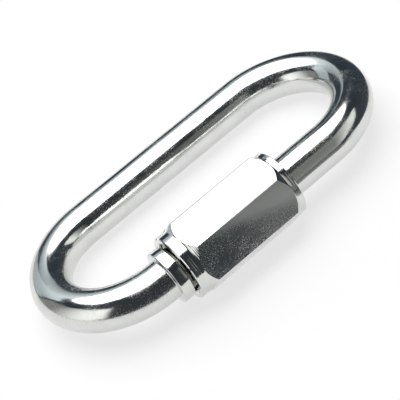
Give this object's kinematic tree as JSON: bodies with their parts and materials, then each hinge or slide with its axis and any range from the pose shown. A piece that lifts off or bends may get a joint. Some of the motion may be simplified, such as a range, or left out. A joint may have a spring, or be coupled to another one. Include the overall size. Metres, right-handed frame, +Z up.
{
  "type": "chain quick link",
  "caption": "Oblong quick link bent from round bar, closed by a long hexagonal sleeve nut that screws back along one leg to open a gap for chain or rope eyes.",
  "frame": {"origin": "bottom centre of the bounding box, on the surface the link lies on", "axes": "+X along the legs, from the collar end of the nut towards the side it opens to; +Y from the nut towards the plain leg; +Z up"},
  "size_m": [0.057, 0.03, 0.0108],
  "materials": {
    "plated_bar": "polished",
    "plated_nut": "polished"
  },
  "bodies": {
    "bar": {"link_bar": "plated_bar"},
    "nut": {"sleeve_nut": "plated_nut"}
  },
  "joints": [
    {"name": "nut_slide", "type": "slide", "parent": "bar", "child": "nut", "axis": [1, 0, 0], "range_m": [0, 0.01125]}
  ]
}
